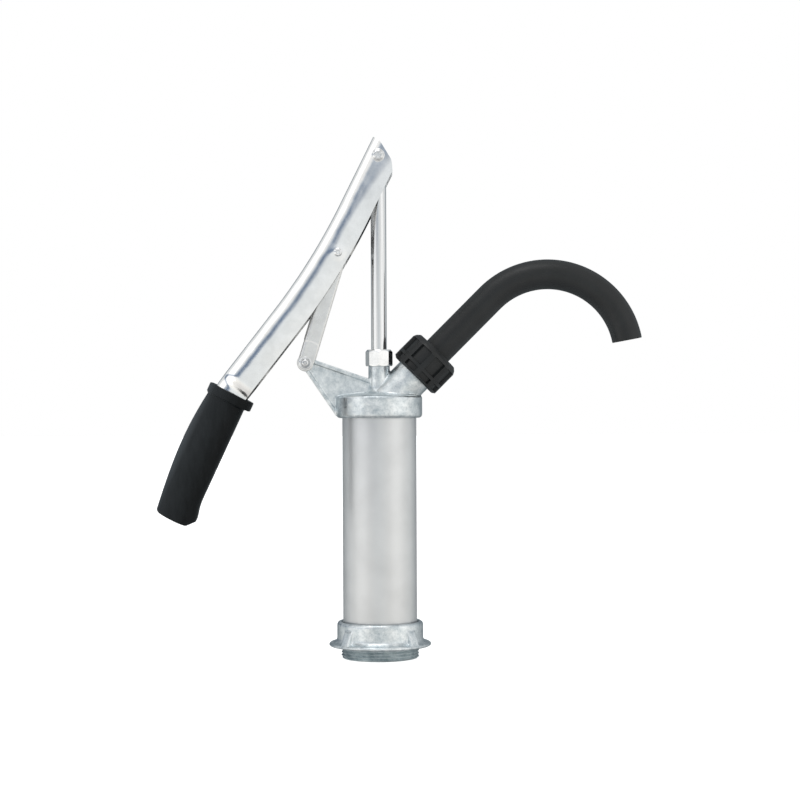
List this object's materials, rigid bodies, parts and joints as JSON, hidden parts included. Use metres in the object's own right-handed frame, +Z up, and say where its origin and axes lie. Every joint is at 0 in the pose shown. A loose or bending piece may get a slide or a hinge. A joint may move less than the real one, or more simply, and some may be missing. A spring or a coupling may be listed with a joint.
{
  "type": "lever drum pump",
  "caption": "Hand pump that screws into a drum: upright barrel, side lever with grip on a link, plunger rod through a gland, and a bent spout on a slanted outlet with a union nut.",
  "frame": {"origin": "centre of the drum flange's underside, on the pump axis", "axes": "+Z up the pump axis, +X towards the spout, the linkage in the XZ plane"},
  "size_m": [0.3744, 0.0786, 0.3999],
  "materials": {
    "die_cast_metal": "tumbled die casting, satin",
    "grey_paint": "satin light grey paint",
    "brass": "machined brass",
    "seal_rubber": "matt nitrile rubber",
    "bright_plate": "bright plated steel",
    "polished_rod": "ground and chromed steel",
    "chromed_sheet": "pressed sheet steel, bright plated, slightly wavy",
    "zinc_sheet": "pressed sheet steel, satin zinc plate",
    "grey_plastic": "moulded acetal",
    "black_plastic": "moulded black plastic, satin",
    "black_rubber": "moulded soft vinyl, satin, lightly scuffed"
  },
  "bodies": {
    "pump_body": {"drum_adapter": "die_cast_metal", "foot_valve_seat": "brass", "foot_valve_stem": "brass", "base_gasket": "seal_rubber", "cylinder_tube": "grey_paint", "head_gasket": "seal_rubber", "pump_head": "die_cast_metal", "rod_bush": "brass", "gland_nut": "bright_plate", "gland_washer": "brass", "gland_packing": "seal_rubber", "outlet_gasket": "seal_rubber", "arm_pin": "bright_plate", "arm_pin_washers": "bright_plate"},
    "foot_valve": {"foot_valve_disc": "seal_rubber"},
    "rod": {"piston_rod": "polished_rod", "piston_stop": "bright_plate", "piston_sleeve": "brass", "piston_body": "grey_plastic", "piston_cup": "seal_rubber", "piston_clamp": "grey_plastic", "piston_nut": "bright_plate", "rod_spacers": "bright_plate"},
    "piston_valve_body": {"piston_valve": "seal_rubber"},
    "lever_body": {"lever": "chromed_sheet", "lever_pin": "bright_plate", "lever_pin_caps": "bright_plate", "link_pin_heads": "bright_plate", "grip": "black_rubber"},
    "link_body": {"link": "zinc_sheet", "link_pin": "bright_plate"},
    "union_nut_body": {"union_nut": "black_plastic"},
    "spout_body": {"spout": "black_plastic"}
  },
  "joints": [
    {"name": "rod_slide", "type": "slide", "parent": "pump_body", "child": "rod", "axis": [0, 0, 1], "range_m": [-0.10399, 0]},
    {"name": "lever_swing", "type": "hinge", "parent": "rod", "child": "lever_body", "pos_m": [0, 0, 0.37603], "axis": [0, 1, 0], "range_deg": [0, 92.4]},
    {"name": "link_swing", "type": "hinge", "parent": "pump_body", "child": "link_body", "pos_m": [-0.0565, 0, 0.2174], "axis": [0, 1, 0], "range_deg": [-27.69, 0]},
    {"name": "piston_valve_lift", "type": "slide", "parent": "rod", "child": "piston_valve_body", "axis": [0, 0, 1], "range_m": [0, 0.003]},
    {"name": "foot_valve_lift", "type": "slide", "parent": "pump_body", "child": "foot_valve", "axis": [0, 0, 1], "range_m": [0, 0.004]},
    {"name": "union_nut_turn", "type": "hinge", "parent": "pump_body", "child": "union_nut_body", "pos_m": [0, 0, 0.1811], "axis": [0.7071, 0, 0.7071], "range_deg": [-360, 360]},
    {"name": "spout_swivel", "type": "hinge", "parent": "pump_body", "child": "spout_body", "pos_m": [0, 0, 0.1811], "axis": [0.7071, 0, 0.7071], "range_deg": [-180, 180]}
  ],
  "couplings": [
    {"joint": "rod_slide", "follows": "lever_swing", "m_per_rad": -0.06436},
    {"joint": "link_swing", "follows": "lever_swing", "ratio": -0.29855}
  ]
}
